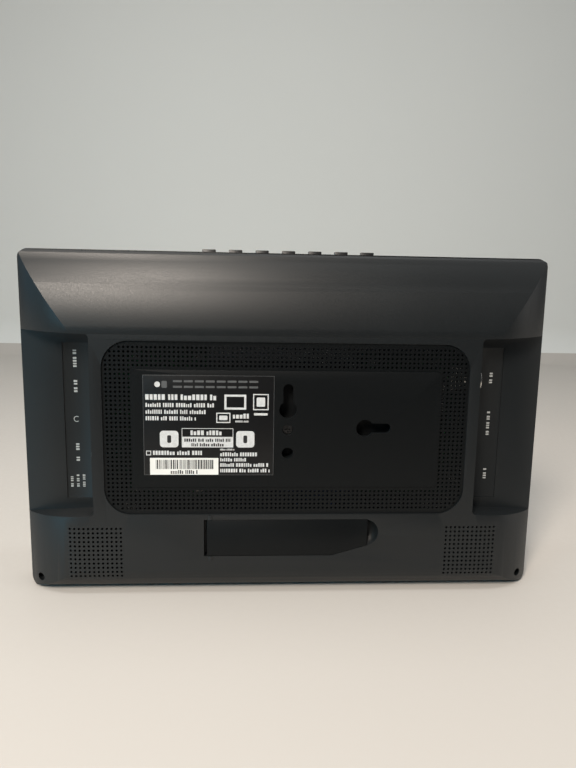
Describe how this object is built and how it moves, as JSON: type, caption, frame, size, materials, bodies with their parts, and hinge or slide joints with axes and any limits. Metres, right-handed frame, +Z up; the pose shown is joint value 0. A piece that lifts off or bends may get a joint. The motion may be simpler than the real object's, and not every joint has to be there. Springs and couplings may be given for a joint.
{
  "type": "portable television",
  "caption": "Slim portable television with a crowned textured back, side bays for plugs, two perforated speaker grilles, keyholes, top keys and a fold-out leg.",
  "frame": {"origin": "middle of the flat base, halfway between the screen face and the back", "axes": "+X along the longest side, to the left when seen from behind; +Y from the screen towards the back; +Z up"},
  "size_m": [0.262, 0.028, 0.1716],
  "materials": {
    "case_plastic": "fine textured charcoal black",
    "bezel_plastic": "glossy black",
    "key_plastic": "satin black",
    "lcd_glass": "dark anti-glare",
    "steel": "zinc plated",
    "screw_steel": "nickel plated",
    "brass": "plain",
    "circuit_board": "green solder mask",
    "chip_plastic": "black moulded",
    "module_frame": "plain folded sheet",
    "sink_aluminium": "black anodised fins",
    "tinplate": "tin plated",
    "port_plastic": "black",
    "port_metal": "nickel plated",
    "battery_wrap": "blue shrink wrap",
    "cone_paper": "pressed black paper",
    "ribbon_plastic": "white flat cable",
    "ir_plastic": "dark red translucent",
    "lamp_plastic": "red diffused",
    "label_film": "black printed film",
    "sticker_paper": "white"
  },
  "bodies": {
    "cabinet": {"front_housing": "bezel_plastic", "rear_cover": "case_plastic", "lcd_frame": "module_frame", "lcd_glass": "lcd_glass", "chassis_plate": "steel", "chassis_screws": "screw_steel", "main_board": "circuit_board", "io_board": "circuit_board", "board_standoffs": "brass", "board_screws": "screw_steel", "centre_standoff": "brass", "centre_screw": "screw_steel", "case_screws": "screw_steel", "tuner_can": "tinplate", "main_chip": "chip_plastic", "heat_sink": "sink_aluminium", "battery_pack": "battery_wrap", "lcd_ribbon": "ribbon_plastic", "av_out_jack": "port_plastic", "av_in_jack": "port_plastic", "headphone_jack": "port_plastic", "dc_jack": "port_plastic", "hdmi_socket": "port_metal", "usb_socket": "port_metal", "antenna_socket": "port_metal", "power_switch_body": "port_metal", "speaker_left": "steel", "speaker_cone_left": "cone_paper", "speaker_right": "steel", "speaker_cone_right": "cone_paper", "tact_switches": "port_plastic", "button_board": "circuit_board", "ir_window": "ir_plastic", "status_led": "lamp_plastic", "sensor_board": "circuit_board", "kickstand_pin": "screw_steel", "rating_label": "label_film", "barcode_sticker": "sticker_paper"},
    "kickstand": {"kickstand": "case_plastic"},
    "power_switch": {"power_switch_knob": "port_plastic"},
    "key_volume_down": {"key_volume_down": "key_plastic"},
    "key_volume_up": {"key_volume_up": "key_plastic"},
    "key_menu": {"key_menu": "key_plastic"},
    "key_source": {"key_source": "key_plastic"},
    "key_channel_down": {"key_channel_down": "key_plastic"},
    "key_channel_up": {"key_channel_up": "key_plastic"},
    "key_power": {"key_power": "key_plastic"}
  },
  "joints": [
    {"name": "kickstand_hinge", "type": "hinge", "parent": "cabinet", "child": "kickstand", "pos_m": [0.0376, 0.0119, 0.02935], "axis": [0, 0, -1], "range_deg": [0, 90]},
    {"name": "power_switch_slide", "type": "slide", "parent": "cabinet", "child": "power_switch", "axis": [0, 0, -1], "range_m": [0, 0.0025]},
    {"name": "key_volume_down_press", "type": "slide", "parent": "cabinet", "child": "key_volume_down", "axis": [0, 0, -1], "range_m": [0, 0.0005], "stiffness_N_per_m": 400},
    {"name": "key_volume_up_press", "type": "slide", "parent": "cabinet", "child": "key_volume_up", "axis": [0, 0, -1], "range_m": [0, 0.0005], "stiffness_N_per_m": 400},
    {"name": "key_menu_press", "type": "slide", "parent": "cabinet", "child": "key_menu", "axis": [0, 0, -1], "range_m": [0, 0.0005], "stiffness_N_per_m": 400},
    {"name": "key_source_press", "type": "slide", "parent": "cabinet", "child": "key_source", "axis": [0, 0, -1], "range_m": [0, 0.0005], "stiffness_N_per_m": 400},
    {"name": "key_channel_down_press", "type": "slide", "parent": "cabinet", "child": "key_channel_down", "axis": [0, 0, -1], "range_m": [0, 0.0005], "stiffness_N_per_m": 400},
    {"name": "key_channel_up_press", "type": "slide", "parent": "cabinet", "child": "key_channel_up", "axis": [0, 0, -1], "range_m": [0, 0.0005], "stiffness_N_per_m": 400},
    {"name": "key_power_press", "type": "slide", "parent": "cabinet", "child": "key_power", "axis": [0, 0, -1], "range_m": [0, 0.0005], "stiffness_N_per_m": 400}
  ]
}
